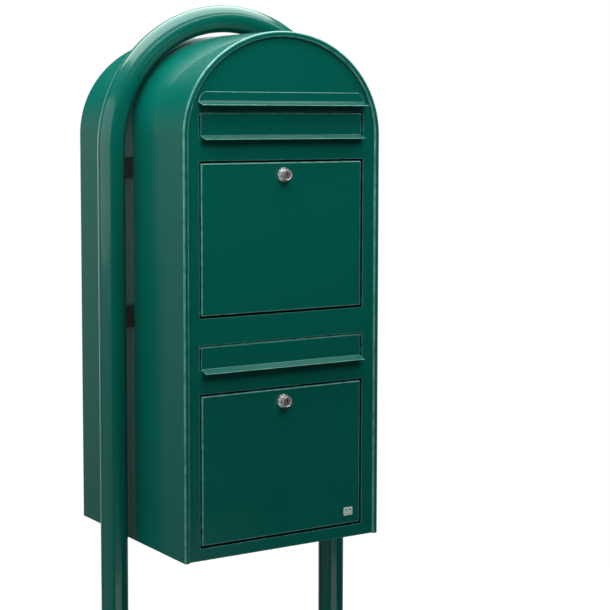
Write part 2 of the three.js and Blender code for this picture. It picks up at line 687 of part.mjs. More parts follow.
// The cam lies level towards +X when unlocked and stands up when locked.
function makeLockCam(level) {
  const outline = new THREE.Shape();
  outline.absarc(0, 0, CAM_HALF_WIDTH, Math.PI / 2, 3 * Math.PI / 2, false);
  outline.absarc(CAM_LENGTH, 0, CAM_HALF_WIDTH, -Math.PI / 2, Math.PI / 2, false);
  const square = CAM_SQUARE / 2 + HOLE_CLEARANCE;
  const start = LOCK_BARREL + GAP;
  const cam = plateAlongY(outline, start, start + CAM_THICKNESS, 6)
    .subtract(block([-square, start - 1, -square], [square, start + CAM_THICKNESS + 1, square]));
  return meshOf(cam, `${level}_lock_cam`, zinc);
}

function makeCamScrew(level) {
  const seat = LOCK_BARREL + 2 * GAP + CAM_THICKNESS;
  const tip = seat - CAM_SCREW_LENGTH + 2 * GAP;
  const profile = [
    [0, tip],
    [CAM_SCREW_RADIUS, tip],
    [CAM_SCREW_RADIUS, seat],
    [CAM_SCREW_HEAD_RADIUS, seat],
    [CAM_SCREW_HEAD_RADIUS, seat + CAM_SCREW_HEAD],
    [0, seat + CAM_SCREW_HEAD],
  ];
  return meshOf(turnedAlongY(profile, 12), `${level}_cam_screw`, zinc);
}

function makeLock(level) {
  const lock = new THREE.Group();
  lock.position.set(0, PANEL_FRONT, LOCK_HEIGHT);
  lock.add(makeLockBody(level), makeLockNut(level), makeLockPlug(level));
  lock.add(makeLockCam(level), makeCamScrew(level));
  return lock;
}

function makeDoorGroup(level) {
  const group = new THREE.Group();
  group.add(makeDoor(level), makeStrike(level), makeLock(level));
  for (const side of ['left', 'right']) {
    group.add(makeHingeBracket(level, side), makeHingePin(level, side));
  }
  return group;
}

// A small plain plate that carries a pictogram of an envelope.
function makeBadge() {
  const [x, z] = [BADGE_WIDTH / 2, BADGE_HEIGHT / 2];
  const plate = new THREE.Shape();
  plate.absarc(x - BADGE_CORNER, z - BADGE_CORNER, BADGE_CORNER, 0, Math.PI / 2, false);
  plate.absarc(BADGE_CORNER - x, z - BADGE_CORNER, BADGE_CORNER, Math.PI / 2, Math.PI, false);
  plate.absarc(BADGE_CORNER - x, BADGE_CORNER - z, BADGE_CORNER, Math.PI, 3 * Math.PI / 2, false);
  plate.absarc(x - BADGE_CORNER, BADGE_CORNER - z, BADGE_CORNER, 3 * Math.PI / 2, 2 * Math.PI, false);
  const badge = meshOf(plateAlongY(plate, -GAP - BADGE_THICKNESS, -GAP, 3), 'door_badge', print);
  badge.position.set(DOOR_HALF - BADGE_FROM_DOOR_SIDE, PANEL_FRONT, BADGE_ABOVE_DOOR_BOTTOM);
  return badge;
}

// ---------------------------------------------------------------- assembly

const postBox = new THREE.Group();
postBox.add(makeHoopStand(), makeAnchorRod('upper'), makeAnchorRod('lower'), makeFixings());

const box = new THREE.Group();
box.position.z = BOX_BASE;
box.add(
  makeShell(), makeRearPanel(), makeFrontPanel(), makeFloorPlate(), makeDividerShelf(), makeRainHood(),
);
for (const [level, sill] of [['upper', SILL_HEIGHT + COMPARTMENT_PITCH], ['lower', SILL_HEIGHT]]) {
  const slot = makeSlotGroup(level);
  slot.position.z = sill + SLOT_ABOVE_SILL + SLOT_HEIGHT;
  const door = makeDoorGroup(level);
  door.position.z = sill + DOOR_GAP;
  if (level === 'lower') door.add(makeBadge());
  box.add(slot, door);
}
postBox.add(box);

export default postBox;
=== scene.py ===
"""Looks of a two-compartment steel post box held in a round-tube hoop stand.

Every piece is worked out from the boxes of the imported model's nodes, in metres: X to the right,
Y to the back, Z up. Sheet pieces are a bent centre line given a thickness, with half-round edges.
"""

import json
import math

import bmesh
import bpy
import numpy as np
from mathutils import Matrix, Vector


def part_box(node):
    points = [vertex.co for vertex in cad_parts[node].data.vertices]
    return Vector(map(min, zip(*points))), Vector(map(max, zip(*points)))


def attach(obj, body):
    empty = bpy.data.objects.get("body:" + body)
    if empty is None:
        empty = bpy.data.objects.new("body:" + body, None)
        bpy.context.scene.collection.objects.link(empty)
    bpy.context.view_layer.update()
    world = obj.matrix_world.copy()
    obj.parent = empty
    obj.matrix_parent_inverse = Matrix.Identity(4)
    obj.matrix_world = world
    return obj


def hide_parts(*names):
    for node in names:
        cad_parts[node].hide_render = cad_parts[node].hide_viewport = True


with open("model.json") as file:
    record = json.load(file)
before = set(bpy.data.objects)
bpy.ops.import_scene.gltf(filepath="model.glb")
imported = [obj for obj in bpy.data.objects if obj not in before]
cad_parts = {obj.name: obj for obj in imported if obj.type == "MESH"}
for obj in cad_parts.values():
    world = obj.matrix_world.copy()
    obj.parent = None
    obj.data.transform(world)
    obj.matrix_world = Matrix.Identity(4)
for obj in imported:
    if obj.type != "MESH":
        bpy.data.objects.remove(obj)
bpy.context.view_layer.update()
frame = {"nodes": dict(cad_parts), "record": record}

MM = 0.001
# Name of the point value that makes the paint paler on bends and rims: wear and painted highlight.
WEAR_AND_PAINTED_HIGHLIGHT = "wear_and_painted_highlight"
LEVELS = ("upper", "lower")
SIDES = ("left", "right")


# ---------------------------------------------------------------- places taken from the frame


def low(node):
    """The lower corner of a node's box."""
    return np.array(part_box(node)[0])


def high(node):
    """The upper corner of a node's box."""
    return np.array(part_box(node)[1])


def middle_of(node):
    """The middle of a node's box."""
    return (low(node) + high(node)) / 2


SHEET = 1.5 * MM
SHELL_LOW = low("shell")
SHELL_HIGH = high("shell")
HALF_WIDTH = SHELL_HIGH[0]
FRONT = SHELL_LOW[1]
BASE = SHELL_LOW[2]
PANEL_FRONT = low("front_panel")[1]
PANEL_HALF = high("front_panel")[0]
PANEL_TOP = high("front_panel")[2]

# The arch starts where the upper letter slot does, and its rise is what is left up to the top.
FLAP_GAP = 3.5 * MM
SLOT_HALF = high("upper_flap")[0] + FLAP_GAP
SLOT_HEIGHT = 39.5 * MM
ROD_BELOW_SLOT_TOP = 4.5 * MM
DOOR_GAP = 3.5 * MM


def slot_top(level):
    """The height of a letter slot's upper edge, a little above the flap's rod."""
    return middle_of(f"{level}_flap_rod")[2] + ROD_BELOW_SLOT_TOP


SPRING = slot_top("upper") - SLOT_HEIGHT
ARCH_RISE = SHELL_HIGH[2] - SPRING

# How far folds are rounded, and how far a guard point stands from the end of a bend.
FOLD = 1.6 * MM
CHUTE_FOLD = 1.8 * MM
SHELL_FOLD = 2.0 * MM
GUARD = 0.35 * MM
PANEL_GUARD = 1.3 * MM
SHARP_ANGLE = 35

# Sizes of the folded and turned pieces that their boxes don't give.
RIM_WIDTH = 10 * MM
RIM_RETURN = 4.7 * MM
HOOD_FOLD = low("rain_hood")[2] + 4.6 * MM
HOOD_CORNER = 16 * MM
FLAP_SHEET = 1.2 * MM
FLAP_CURL = 3.2 * MM
FLAP_LIP = 7 * MM
CHUTE_FLANGE = 8 * MM
CHUTE_SLOPE = 12 * MM
DOOR_CORNER = 2.2 * MM
LOCK_HOLE = 9.3 * MM
LOCK_NOSE = 9 * MM


# ---------------------------------------------------------------- meshes


def grid_faces(rows, columns, rows_closed=False, columns_closed=False):
    """Four-sided faces between neighbouring points of a rows by columns grid."""
    r = np.arange(rows if rows_closed else rows - 1)[:, None]
    c = np.arange(columns if columns_closed else columns - 1)[None, :]
    next_r = (r + 1) % rows
    next_c = (c + 1) % columns
    here, beyond = r * columns, next_r * columns
    quads = [here + c, here + next_c, beyond + next_c, beyond + c]
    return np.stack(quads, axis=-1).reshape(-1, 4)


def close_up(mesh):
    """Merges coinciding points, drops collapsed faces and turns every face outwards."""
    span = 0.002 * MM
    shape = bmesh.new()
    shape.from_mesh(mesh)
    bmesh.ops.remove_doubles(shape, verts=shape.verts, dist=span)
    bmesh.ops.dissolve_degenerate(shape, edges=shape.edges, dist=span)
    face_outwards(shape)
    shape.to_mesh(mesh)
    shape.free()


def face_outwards(shape):
    """Makes the faces agree, and turns them all round if they enclose a negative volume."""
    bmesh.ops.recalc_face_normals(shape, faces=shape.faces)
    if shape.calc_volume(signed=True) < 0:
        bmesh.ops.reverse_faces(shape, faces=shape.faces)


def read(items, field, width=1, kind=float):
    """One field of all a mesh's points, edges, corners or faces as an array."""
    values = np.zeros(len(items) * width, dtype=kind)
    items.foreach_get(field, values)
    return values.reshape(-1, width) if width > 1 else values


def mark_wear_and_painted_highlight(mesh, rim=0.0):
    """Keeps on each point how sharply it bends outwards, for wear and a painted highlight.

    The bend at an edge is the angle between its two faces over the distance between their
    middles, counted only where the surface turns away. A point takes its sharpest edge: 0 below
    the gentle bend and 1 from the sharp one. Points on an open rim take the rim's value.
    """
    gentle, sharp = 0.15, 0.45  # radians per millimetre
    ends = read(mesh.edges, "vertices", 2, np.int32)
    corner_edge = read(mesh.loops, "edge_index", 1, np.int32)
    face = np.repeat(np.arange(len(mesh.polygons)), read(mesh.polygons, "loop_total", 1, np.int32))
    normal = read(mesh.polygons, "normal", 3)
    middle = read(mesh.polygons, "center", 3)
    order = np.argsort(corner_edge, kind="stable")
    uses = np.bincount(corner_edge, minlength=len(ends))
    start = np.cumsum(uses) - uses
    shared = np.flatnonzero(uses == 2)
    one = face[order[start[shared]]]
    other = face[order[start[shared] + 1]]
    step = middle[other] - middle[one]
    angle = np.arccos(np.clip(np.sum(normal[one] * normal[other], axis=1), -1, 1))
    outward = np.sum(step * normal[one], axis=1) < 0
    bend = np.where(outward, angle / np.maximum(np.linalg.norm(step, axis=1), 1e-9) * MM, 0)
    share = np.zeros(len(ends))
    share[shared] = np.clip((bend - gentle) / (sharp - gentle), 0, 1)
    share[uses == 1] = rim
    value = np.zeros(len(mesh.vertices))
    np.maximum.at(value, ends[:, 0], share)
    np.maximum.at(value, ends[:, 1], share)
    mesh.attributes.new(WEAR_AND_PAINTED_HIGHLIGHT, "FLOAT", "POINT").data.foreach_set("value", value.astype(np.float32))


def add_piece(name, mesh, body, finish, stands_for):
    """Puts a mesh in the scene as a piece that rides on a body and stands for CAD nodes."""
    piece = bpy.data.objects.new(name, mesh)
    bpy.context.scene.collection.objects.link(piece)
    mesh.materials.clear()
    mesh.materials.append(FINISHES[finish])
    mesh.shade_smooth()
    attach(piece, body)
    if stands_for:
        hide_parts(*stands_for)
    return piece


def add_surface(name, points, body, finish, stands_for=(), rows_closed=False, columns_closed=True):
    """A piece from a grid of points, of shape rows by columns by 3."""
    rows, columns = points.shape[:2]
    mesh = bpy.data.meshes.new(name)
    faces = grid_faces(rows, columns, rows_closed, columns_closed)
    mesh.from_pydata(points.reshape(-1, 3).tolist(), [], faces.tolist())
    close_up(mesh)
    if finish == "moss_green_paint" and stands_for:
        # Sharp bends get paler paint: partly wear, partly a painted highlight for the light the edges
        # catch.
        mark_wear_and_painted_highlight(mesh)
    add_piece(name, mesh, body, finish, stands_for)


def add_modifier(piece, kind, **settings):
    """Adds a live modifier with its settings."""
    modifier = piece.modifiers.new(kind.title(), kind)
    for key, value in settings.items():
        setattr(modifier, key, value)


def round_edges(piece, width, segments):
    """Rounds every edge that turns by more than the sharp angle, flat faces staying flat."""
    add_modifier(
        piece,
        "BEVEL",
        width=width,
        segments=segments,
        limit_method="ANGLE",
        angle_limit=math.radians(SHARP_ANGLE),
    )
    add_modifier(piece, "WEIGHTED_NORMAL", keep_sharp=False, weight=100)


def softened(node, body, finish, width, segments=2):
    """A copy of a CAD node with its corners merged, flat faces made whole and edges rounded."""
    mesh = frame["nodes"][node].data.copy()
    mesh.name = f"{node}_soft"
    shape = bmesh.new()
    shape.from_mesh(mesh)
    bmesh.ops.remove_doubles(shape, verts=shape.verts, dist=0.01 * MM)
    bmesh.ops.dissolve_limit(
        shape, angle_limit=math.radians(1), verts=shape.verts, edges=shape.edges
    )
    face_outwards(shape)
    shape.to_mesh(mesh)
    shape.free()
    piece = add_piece(f"{node}_soft", mesh, body, finish, [node])
    round_edges(piece, width, segments)


# ---------------------------------------------------------------- bent sheet


def arc(centre, radius, start, end, steps):
    """Points on an arc between two angles in degrees, with the unit vectors that point outwards."""
    turn = np.radians(np.linspace(start, end, steps + 1))
    outward = np.stack([np.cos(turn), np.sin(turn)], axis=1)
    return np.array(centre) + radius * outward, outward


def bent_line(corners, radius, steps=6):
    """A line through corners with each corner rounded, and its left-hand unit normals.

    A guard point sits just before and just after every arc, to keep flat faces flat.
    """
    corners = np.array(corners, float)
    runs = np.diff(corners, axis=0)
    headings = runs / np.linalg.norm(runs, axis=1)[:, None]
    points = [corners[0]]
    normals = [left_of(headings[0])]
    for corner, before, after in zip(corners[1:-1], headings[:-1], headings[1:]):
        turn = math.atan2(before[0] * after[1] - before[1] * after[0], before @ after)
        setback = radius * math.tan(abs(turn) / 2)
        centre = corner - setback * before + math.copysign(radius, turn) * left_of(before)
        swing = np.linspace(0, turn, steps + 1)
        inward = -math.copysign(1, turn)
        first = inward * left_of(before)
        spokes = np.stack(
            [
                np.cos(swing) * first[0] - np.sin(swing) * first[1],
                np.sin(swing) * first[0] + np.cos(swing) * first[1],
            ],
            axis=1,
        )
        points += [corner - (setback + GUARD) * before]
        points += list(centre + radius * spokes)
        points += [corner + (setback + GUARD) * after]
        normals += [left_of(before)] + list(inward * spokes) + [left_of(after)]
    points += [corners[-1]]
    normals += [left_of(headings[-1])]
    return np.array(points), np.array(normals)


def left_of(heading):
    """The unit vector a quarter turn to the left of a heading."""
    return np.array([-heading[1], heading[0]])


def shorten(points, normals, half):
    """The same line drawn in by half a thickness at both ends, with a guard point after each."""
    run = np.concatenate([[0], np.cumsum(np.linalg.norm(np.diff(points, axis=0), axis=1))])
    ends = np.array([half, half + GUARD])
    ends = np.concatenate([ends, run[-1] - ends])
    clear = half + 1.4 * GUARD
    inner = run[(run > clear) & (run < run[-1] - clear)]
    places = np.sort(np.concatenate([ends, inner]))
    line = np.stack([np.interp(places, run, points[:, i]) for i in (0, 1)], axis=1)
    side = np.stack([np.interp(places, run, normals[:, i]) for i in (0, 1)], axis=1)
    return line, side / np.linalg.norm(side, axis=1)[:, None]


def sheet_section(points, normals, thickness, cap_steps=6):
    """The closed outline round a line: centre points and the vectors from them to the surface.

    The outline runs along the left face, round a half circle, back along the right face and
    round another half circle; both half circles end exactly at the line's ends.
    """
    half = thickness / 2
    line, side = shorten(points, normals, half)
    swing = np.radians(np.linspace(90, -90, cap_steps + 1))[1:-1, None]
    heading = np.stack([side[:, 1], -side[:, 0]], axis=1)
    far = np.sin(swing) * side[-1] + np.cos(swing) * heading[-1]
    near = -np.sin(swing) * side[0] - np.cos(swing) * heading[0]
    far_base = np.repeat(line[-1:], len(far), axis=0)
    near_base = np.repeat(line[:1], len(near), axis=0)
    base = np.concatenate([line, far_base, line[::-1], near_base])
    reach = half * np.concatenate([side, far, -side[::-1], near])
    return base, reach


def tapered_ends(first, last, thickness, inner=()):
    """Stations from first to last, and how much of its thickness a sheet has at each.

    The thickness falls to nothing along a quarter circle at both ends, which makes them round.
    """
    radius = thickness / 2
    swing = np.radians(np.linspace(90, 0, 5))
    start = first + radius - radius * np.sin(swing)
    end = last - radius + radius * np.sin(swing[::-1])
    middle = np.array([first + radius + GUARD, *inner, last - radius - GUARD])
    stations = np.concatenate([start, middle, end])
    share = np.concatenate([np.cos(swing), np.ones(len(middle)), np.cos(swing[::-1])])
    return stations, share


def bar_along_x(name, line, thickness, body, node, width_share=None):
    """A painted bent sheet for a node: its section lies in (y, z) and runs along x.

    It is as wide as the node, and both ends are half round. width_share gives, from the height
    of a point, the share of the full width that it keeps.
    """
    base, reach = sheet_section(*line, thickness)
    stations, share = tapered_ends(-high(node)[0], high(node)[0], thickness)
    section = base[None] + share[:, None, None] * reach[None]
    x = np.repeat(stations[:, None], len(base), axis=1)
    if width_share is not None:
        x = x * width_share(base[:, 1])[None]
    points = np.stack([x, section[..., 0], section[..., 1]], axis=-1)
    add_surface(name, points, body, "moss_green_paint", [node])


def turned(name, profile, centre, axis, body, finish, stands_for, segments, closed=False):
    """A profile of (radius, place along the axis) turned about an axis through a centre."""
    profile = np.array(profile, float)
    turn = np.linspace(0, 2 * np.pi, segments, endpoint=False)
    across = [i for i in range(3) if i != axis]
    points = np.zeros((len(profile), segments, 3))
    points[..., axis] = profile[:, 1, None]
    points[..., across[0]] = centre[across[0]] + profile[:, :1] * np.cos(turn)
    points[..., across[1]] = centre[across[1]] + profile[:, :1] * np.sin(turn)
    add_surface(name, points, body, finish, stands_for, rows_closed=closed)


def rounded_profile(corners, radius, steps=3):
    """An open profile with every inner corner drawn as a parabola within a radius of it."""
    corners = np.array(corners, float)
    points = [corners[0]]
    for before, corner, after in zip(corners[:-2], corners[1:-1], corners[2:]):
        run_in = np.linalg.norm(corner - before)
        run_out = np.linalg.norm(after - corner)
        into = (corner - before) / run_in
        out = (after - corner) / run_out
        reach = min(radius, run_in / 2.2, run_out / 2.2)
        share = np.linspace(0, 1, steps + 2)[:, None]
        start = corner - reach * into
        end = corner + reach * out
        points += [start - 0.2 * reach * into]
        pull = 2 * share * (1 - share)
        points += list((1 - share) ** 2 * start + pull * corner + share**2 * end)
        points += [end + 0.2 * reach * out]
    return np.array(points + [corners[-1]])


# ---------------------------------------------------------------- finishes


def start_finish(name):
    """A new node material with object coordinates at hand."""
    material = bpy.data.materials.new(name)
    material.use_nodes = True
    tree = material.node_tree
    place = tree.nodes.new("ShaderNodeTexCoord").outputs["Object"]
    return material, tree, tree.nodes["Principled BSDF"], place


def noise(tree, place, scale, detail):
    """Cloudy noise with a number of blotches per metre."""
    node = tree.nodes.new("ShaderNodeTexNoise")
    node.inputs["Scale"].default_value = scale
    node.inputs["Detail"].default_value = detail
    tree.links.new(place, node.inputs["Vector"])
    return node.outputs["Fac"]


def spread(tree, value, from_low, from_high, to_low, to_high):
    """Carries one range of a value onto another in a straight line, and holds it beyond."""
    node = tree.nodes.new("ShaderNodeMapRange")
    node.inputs["From Min"].default_value = from_low
    node.inputs["From Max"].default_value = from_high
    node.inputs["To Min"].default_value = to_low
    node.inputs["To Max"].default_value = to_high
    tree.links.new(value, node.inputs["Value"])
    return node.outputs["Result"]


def uneven(tree, place, scale, detail, least=0.0, most=1.0):
    """A value that drifts between two numbers as the noise does."""
    return spread(tree, noise(tree, place, scale, detail), 0.3, 0.7, least, most)


def blend(tree, share, one, other):
    """Goes from one colour to the other as the share goes from 0 to 1."""
    node = tree.nodes.new("ShaderNodeMix")
    node.data_type = "RGBA"
    tree.links.new(share, node.inputs["Factor"])
    for socket, colour in (("A", one), ("B", other)):
        target = next(i for i in node.inputs if i.name == socket and i.type == "RGBA")
        if isinstance(colour, tuple):
            target.default_value = (*colour, 1.0)
        else:
            tree.links.new(colour, target)
    return next(o for o in node.outputs if o.type == "RGBA")


def times(tree, one, other):
    """The product of a value and another value or a number, kept between 0 and 1."""
    node = tree.nodes.new("ShaderNodeMath")
    node.operation = "MULTIPLY"
    node.use_clamp = True
    tree.links.new(one, node.inputs[0])
    if isinstance(other, float):
        node.inputs[1].default_value = other
    else:
        tree.links.new(other, node.inputs[1])
    return node.outputs["Value"]


def bump(tree, height, depth, strength):
    """The normals of a surface that a height value raises by up to a depth."""
    node = tree.nodes.new("ShaderNodeBump")
    node.inputs["Distance"].default_value = depth
    node.inputs["Strength"].default_value = strength
    tree.links.new(height, node.inputs["Height"])
    return node.outputs["Normal"]


def wear_and_painted_highlight_edges(tree):
    """The share of paint rubbed thin and of painted highlight on bends, kept on each piece's points."""
    node = tree.nodes.new("ShaderNodeAttribute")
    node.attribute_name = WEAR_AND_PAINTED_HIGHLIGHT
    return node.outputs["Fac"]


def make_green_paint():
    """Glossy powder coat: deep moss green, faint orange peel, bends thinner and paler: wear and painted
    highlight.
    """
    material, tree, shader, place = start_finish("moss_green_powder_coat")
    cloud = uneven(tree, place, 2.6, 3.0)
    body = blend(tree, cloud, (0.0003, 0.100, 0.0745), (0.0006, 0.112, 0.084))
    grain = spread(tree, noise(tree, place, 900.0, 2.0), 0.35, 0.65, 0.0, 0.35)
    body = blend(tree, grain, body, (0.0008, 0.126, 0.095))
    patchy = spread(tree, noise(tree, place, 70.0, 4.0), 0.30, 0.62, 0.35, 1.0)
    # Pale green on sharp bends and open rims: partly worn paint, partly a painted highlight standing in
    # for light caught by the edges.
    wear_and_painted_highlight = times(tree, times(tree, wear_and_painted_highlight_edges(tree), patchy), 0.9)
    tree.links.new(blend(tree, wear_and_painted_highlight, body, (0.15, 0.42, 0.37)), shader.inputs["Base Color"])
    tree.links.new(uneven(tree, place, 14.0, 4.0, 0.17, 0.24), shader.inputs["Roughness"])
    peel = bump(tree, noise(tree, place, 420.0, 1.0), 0.06 * MM, 0.35)
    tree.links.new(peel, shader.inputs["Normal"])
    shader.inputs["Coat Weight"].default_value = 0.35
    shader.inputs["Coat Roughness"].default_value = 0.06
    return material


def make_zinc():
    """Zinc-plated steel: bluish grey metal with fine crystal patches and handling marks."""
    material, tree, shader, place = start_finish("zinc_plated_steel")
    patch = tree.nodes.new("ShaderNodeTexVoronoi")
    patch.inputs["Scale"].default_value = 520.0
    tree.links.new(place, patch.inputs["Vector"])
    tone = blend(tree, patch.outputs["Distance"], (0.40, 0.40, 0.39), (0.58, 0.59, 0.60))
    dull = spread(tree, noise(tree, place, 60.0, 4.0), 0.45, 0.75, 0.0, 0.6)
    tree.links.new(blend(tree, dull, tone, (0.30, 0.28, 0.26)), shader.inputs["Base Color"])
    tree.links.new(uneven(tree, place, 150.0, 3.0, 0.28, 0.46), shader.inputs["Roughness"])
    crystals = bump(tree, noise(tree, place, 1400.0, 2.0), 0.02 * MM, 0.5)
    tree.links.new(crystals, shader.inputs["Normal"])
    shader.inputs["Metallic"].default_value = 1.0
    return material


def make_chrome():
    """Bright chrome plating with faint turning marks."""
    material, tree, shader, place = start_finish("bright_chrome")
    tone = blend(tree, uneven(tree, place, 260.0, 3.0), (0.86, 0.85, 0.86), (0.95, 0.95, 0.96))
    tree.links.new(tone, shader.inputs["Base Color"])
    tree.links.new(uneven(tree, place, 260.0, 3.0, 0.16, 0.28), shader.inputs["Roughness"])
    marks = bump(tree, noise(tree, place, 3000.0, 1.0), 0.01 * MM, 0.4)
    tree.links.new(marks, shader.inputs["Normal"])
    shader.inputs["Metallic"].default_value = 0.78
    return material


def make_plug_metal():
    """Nickel-plated brass of the key plug: warm grey, brushed, a little darker in patches."""
    material, tree, shader, place = start_finish("nickel_plug")
    stretch = tree.nodes.new("ShaderNodeMapping")
    stretch.inputs["Scale"].default_value = (1.0, 1.0, 0.08)
    tree.links.new(place, stretch.inputs["Vector"])
    brush = noise(tree, stretch.outputs["Vector"], 4200.0, 3.0)
    streaks = spread(tree, brush, 0.3, 0.7, 0.0, 1.0)
    tone = blend(tree, streaks, (0.22, 0.19, 0.21), (0.34, 0.30, 0.33))
    tree.links.new(tone, shader.inputs["Base Color"])
    tree.links.new(spread(tree, brush, 0.3, 0.7, 0.26, 0.40), shader.inputs["Roughness"])
    tree.links.new(bump(tree, brush, 0.015 * MM, 0.5), shader.inputs["Normal"])
    shader.inputs["Metallic"].default_value = 0.5
    return material


def make_black_plastic():
    """Moulded plastic: brownish black with a fine matt grain."""
    material, tree, shader, place = start_finish("black_spacer_plastic")
    tone = uneven(tree, place, 300.0, 3.0)
    body = blend(tree, tone, (0.016, 0.012, 0.012), (0.030, 0.023, 0.022))
    tree.links.new(body, shader.inputs["Base Color"])
    tree.links.new(uneven(tree, place, 700.0, 2.0, 0.38, 0.55), shader.inputs["Roughness"])
    grain = bump(tree, noise(tree, place, 1800.0, 2.0), 0.04 * MM, 0.6)
    tree.links.new(grain, shader.inputs["Normal"])
    return material


def make_white_print():
    """Printed white enamel with a slightly uneven surface."""
    material, tree, shader, place = start_finish("white_enamel_print")
    tone = blend(tree, uneven(tree, place, 380.0, 3.0), (0.66, 0.76, 0.73), (0.78, 0.86, 0.83))
    tree.links.new(tone, shader.inputs["Base Color"])
    tree.links.new(uneven(tree, place, 900.0, 2.0, 0.30, 0.42), shader.inputs["Roughness"])
    grain = bump(tree, noise(tree, place, 2200.0, 2.0), 0.01 * MM, 0.5)
    tree.links.new(grain, shader.inputs["Normal"])
    return material


FINISHES = {
    "moss_green_paint": make_green_paint(),
    "zinc_plated_steel": make_zinc(),
    "lock_chrome": make_chrome(),
    "lock_plug_metal": make_plug_metal(),
    "black_plastic": make_black_plastic(),
    "white_print": make_white_print(),
}


# ---------------------------------------------------------------- hoop stand

TUBE_RADIUS = (high("hoop_stand")[1] - low("hoop_stand")[1]) / 2
TUBE_WALL = 2.5 * MM
POST_X = high("hoop_stand")[0] - TUBE_RADIUS
HOOP_CENTRE = high("hoop_stand")[2] - TUBE_RADIUS - POST_X


def make_hoop_tube():
    """A circle carried up one post, over the half circle and down the other.

    Each point of the circle lies at the hoop's line plus a radius times (cos a times the outward
    direction plus sin a times Y). The outer wall is followed by the inner wall in reverse, so the
    two open ends are closed by the wall's own rounded rim.
    """
    around = np.linspace(0, 2 * np.pi, 72, endpoint=False)
    bend = np.linspace(np.pi, 0, 121)
    lip = TUBE_WALL / 2
    swing = np.radians([90, 60, 30])
    rim_drop = np.concatenate([lip - lip * np.sin(swing), [lip, lip + 1 * MM]])
    rim_inset = np.concatenate([lip - lip * np.cos(swing), [0, 0]])
    straight = np.concatenate([rim_drop, np.linspace(0.1, HOOP_CENTRE - 2 * MM, 10)])
    inset = np.concatenate([rim_inset, np.zeros(10)])
    ones = np.ones(len(straight))
    turn = np.concatenate([np.pi * ones, bend, 0 * ones])
    height = np.concatenate([straight, np.full(len(bend), HOOP_CENTRE), straight[::-1]])
    inset = np.concatenate([inset, np.zeros(len(bend)), inset[::-1]])
    outward = np.stack([np.cos(turn), np.zeros(len(turn)), np.sin(turn)], axis=1)
    line = POST_X * outward
    line[:, 2] += height
    along_y = np.sin(around)[None, :, None] * np.array([0, 1, 0])
    spokes = np.cos(around)[None, :, None] * outward[:, None] + along_y
    outer = line[:, None] + (TUBE_RADIUS - inset)[:, None, None] * spokes
    inner = line[:, None] + (TUBE_RADIUS - TUBE_WALL + inset)[:, None, None] * spokes
    points = np.concatenate([outer, inner[::-1]])
    add_surface(
        "hoop_tube", points, "casing", "moss_green_paint", ["hoop_stand"], rows_closed=True
    )


def make_anchor_rod(level):
    """A drawn rod with chamfered ends, turned about X."""
    node = f"anchor_rod_{level}"
    reach = high(node)[0]
    radius = (high(node)[1] - low(node)[1]) / 2
    centre = middle_of(node)
    chamfer = 0.8 * MM
    half = [(0, reach), (radius - chamfer, reach)]
    half += [(radius, reach - chamfer), (radius, reach - 3 * chamfer)]
    profile = [(r, -x) for r, x in half] + half[::-1]
    turned(f"{node}_drawn", profile, centre, 0, "casing", "zinc_plated_steel", [node], 28)
    for side, way in zip(SIDES, (-1, 1)):
        make_weld_bead(f"{node}_weld_{side}", centre, radius, way)


def make_weld_bead(name, centre, rod_radius, way):
    """A lumpy ring where a rod meets a post.

    The ring's centre line lies a little outside the rod and on the tube, at x = post minus the
    root of (tube radius squared minus y squared); its thickness rises and falls 14 times round.
    """
    turn = np.linspace(0, 2 * np.pi, 84, endpoint=False)[:, None]
    around = np.linspace(0, 2 * np.pi, 12, endpoint=False)[None, :]
    ring = rod_radius + 0.5 * MM
    bead = 1.7 * MM * (1 + 0.09 * np.sin(14 * turn))
    out = ring + bead * np.cos(around)
    y = out * np.cos(turn)
    z = out * np.sin(turn)
    seat = POST_X - np.sqrt(TUBE_RADIUS**2 - (ring * np.cos(turn)) ** 2)
    x = way * (seat - bead * np.sin(around))
    points = np.stack([x, centre[1] + y, centre[2] + z], axis=-1)
    add_surface(name, points, "casing", "moss_green_paint", rows_closed=True)


# ---------------------------------------------------------------- casing


def arch_place(inset, theta):
    """x and z on the arched outline drawn in by an inset: half ellipse of reduced half axes."""
    return (HALF_WIDTH - inset) * np.cos(theta), SPRING + (ARCH_RISE - inset) * np.sin(theta)


def make_shell():
    """The wrapped sheet: a section of (inset, y) carried up one side, over the arch and down.

    The section folds inwards at the front and the rear and back along the panels. On the
    straight sides x stays at the half width less the inset; over the arch the point lies on the
    half ellipse whose half axes are reduced by the inset.
    """
    rim = RIM_WIDTH - SHEET / 2
    turn_in = FRONT + RIM_RETURN
    edge = FRONT + SHEET / 2
    corners = [(rim, turn_in), (rim, edge), (SHEET / 2, edge)]
    corners += [(i, -y) for i, y in corners[::-1]]
    base, reach = sheet_section(*bent_line(corners, SHELL_FOLD), SHEET)
    side, share = tapered_ends(BASE, SPRING, SHEET, np.linspace(BASE + 0.05, SPRING - 0.03, 8))
    below_arch = side < SPRING - SHEET
    side, share = side[below_arch], share[below_arch]
    bend = np.linspace(np.pi, 0, 129)
    theta = np.concatenate([np.full(len(side), np.pi), bend, np.zeros(len(side))])[:, None]
    drop = np.concatenate([side - SPRING, np.zeros(len(bend)), side[::-1] - SPRING])[:, None]
    share = np.concatenate([share, np.ones(len(bend)), share[::-1]])
    section = base[None] + share[:, None, None] * reach[None]
    x, z = arch_place(section[..., 0], theta)
    points = np.stack([x, section[..., 1], z + drop], axis=-1)
    add_surface("casing_shell", points, "casing", "moss_green_paint", ["shell"])


